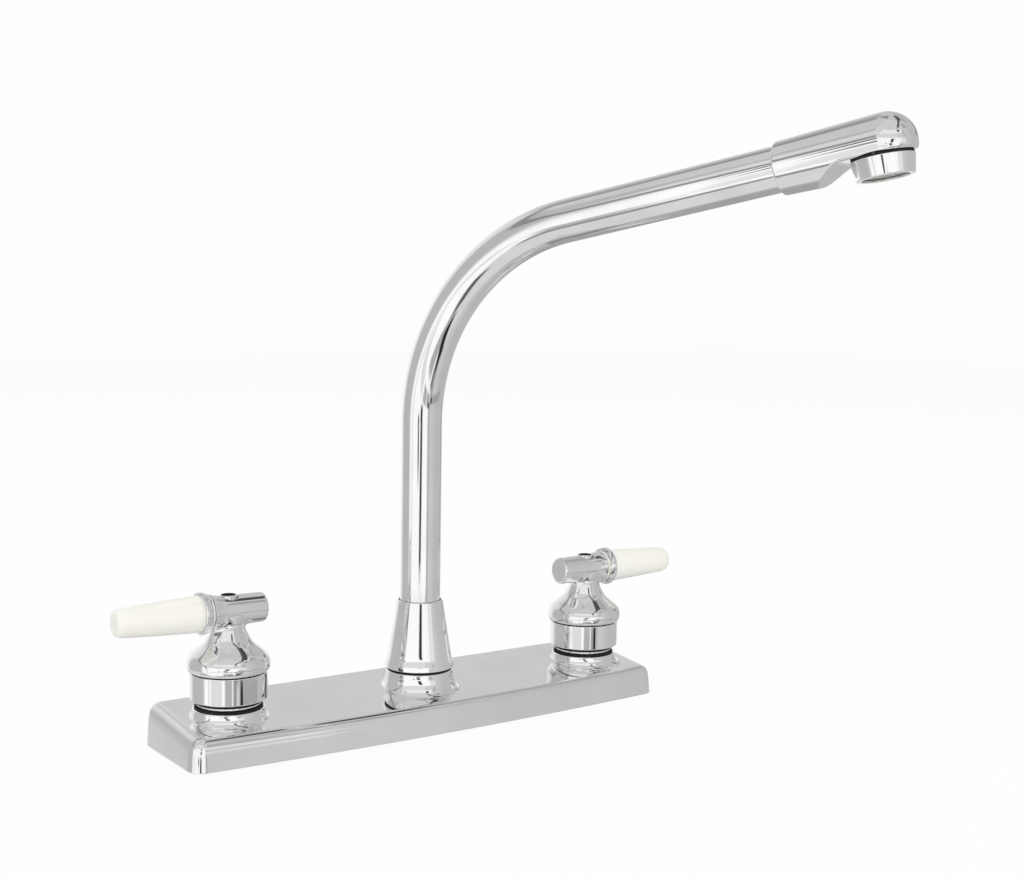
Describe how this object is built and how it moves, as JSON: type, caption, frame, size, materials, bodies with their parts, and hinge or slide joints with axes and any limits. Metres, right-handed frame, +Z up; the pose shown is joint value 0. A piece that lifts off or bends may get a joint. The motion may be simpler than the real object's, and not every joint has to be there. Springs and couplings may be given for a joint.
{
  "type": "two handle kitchen faucet",
  "caption": "Deck mounted kitchen faucet with a bowed chrome deck plate, high swivel spout with aerator and quarter turn ceramic lever handles.",
  "frame": {"origin": "on the spout's swivel axis, in the plane of the sink deck's top, on the underside of the deck gasket", "axes": "+Z up along the spout's swivel axis, +X along the deck plate toward the cold handle, +Y toward the wall behind the sink, so -Y points out over the bowl"},
  "size_m": [0.3118, 0.2522, 0.3373],
  "materials": {
    "plated_plate": "mirror polished chrome plate on a pressed shell",
    "plated_brass": "mirror polished chrome plate on turned brass",
    "plated_zinc": "mirror polished chrome plate on a zinc casting",
    "plated_tube": "mirror polished chrome plate on drawn tube",
    "plated_plastic": "bright plated plastic button",
    "cast_brass": "as cast and machined yellow brass",
    "turned_brass": "fine turned yellow brass",
    "copper_tube": "dull drawn copper tube, brazed at both ends",
    "zinc_steel": "zinc plated steel",
    "stainless_screw": "plain stainless screw",
    "porcelain": "glossy ivory white glaze",
    "valve_ceramic": "lapped white alumina",
    "black_rubber": "smooth black rubber",
    "foam_rubber": "fine closed cell foam rubber",
    "white_nylon": "natural moulded nylon",
    "black_plastic": "moulded black plastic"
  },
  "bodies": {
    "base": {"deck_plate": "plated_plate", "base_plate": "black_plastic", "deck_gasket": "foam_rubber", "spout_hub": "cast_brass", "spout_washer": "black_rubber", "spout_nut": "plated_brass", "glide_ring_lower": "white_nylon", "glide_ring_upper": "white_nylon", "end_body_hot": "cast_brass", "cross_tube_hot": "copper_tube", "shank_locknut_hot": "cast_brass", "shank_washer_hot": "zinc_steel", "seat_seal_hot": "black_rubber", "cartridge_body_hot": "turned_brass", "fixed_disc_hot": "valve_ceramic", "retainer_nut_hot": "turned_brass", "bonnet_washer_hot": "black_rubber", "bonnet_sleeve_hot": "plated_brass", "end_body_cold": "cast_brass", "cross_tube_cold": "copper_tube", "shank_locknut_cold": "cast_brass", "shank_washer_cold": "zinc_steel", "seat_seal_cold": "black_rubber", "cartridge_body_cold": "turned_brass", "fixed_disc_cold": "valve_ceramic", "retainer_nut_cold": "turned_brass", "bonnet_washer_cold": "black_rubber", "bonnet_sleeve_cold": "plated_brass"},
    "hot_handle": {"moving_disc_hot": "valve_ceramic", "spindle_hot": "turned_brass", "spindle_ring_hot": "black_rubber", "handle_hub_hot": "plated_zinc", "handle_screw_hot": "stainless_screw", "index_button_hot": "plated_plastic", "lever_stud_hot": "zinc_steel", "ceramic_lever_hot": "porcelain"},
    "cold_handle": {"moving_disc_cold": "valve_ceramic", "spindle_cold": "turned_brass", "spindle_ring_cold": "black_rubber", "handle_hub_cold": "plated_zinc", "handle_screw_cold": "stainless_screw", "index_button_cold": "plated_plastic", "lever_stud_cold": "zinc_steel", "ceramic_lever_cold": "porcelain"},
    "spout": {"spout_tube": "plated_tube", "spout_shank": "turned_brass", "spout_ring_lower": "black_rubber", "spout_ring_upper": "black_rubber", "spout_head": "plated_zinc", "aerator_housing": "plated_brass", "aerator_gasket": "black_rubber", "aerator_screen": "zinc_steel", "aerator_insert": "white_nylon"}
  },
  "joints": [
    {"name": "hot_turn", "type": "hinge", "parent": "base", "child": "hot_handle", "pos_m": [-0.1016, 0, 0.03], "axis": [0, 0, 1], "range_deg": [0, 90]},
    {"name": "cold_turn", "type": "hinge", "parent": "base", "child": "cold_handle", "pos_m": [0.1016, 0, 0.03], "axis": [0, 0, 1], "range_deg": [-90, 0]},
    {"name": "spout_swing", "type": "hinge", "parent": "base", "child": "spout", "pos_m": [0, 0, 0.03], "axis": [0, 0, 1], "continuous": true}
  ]
}
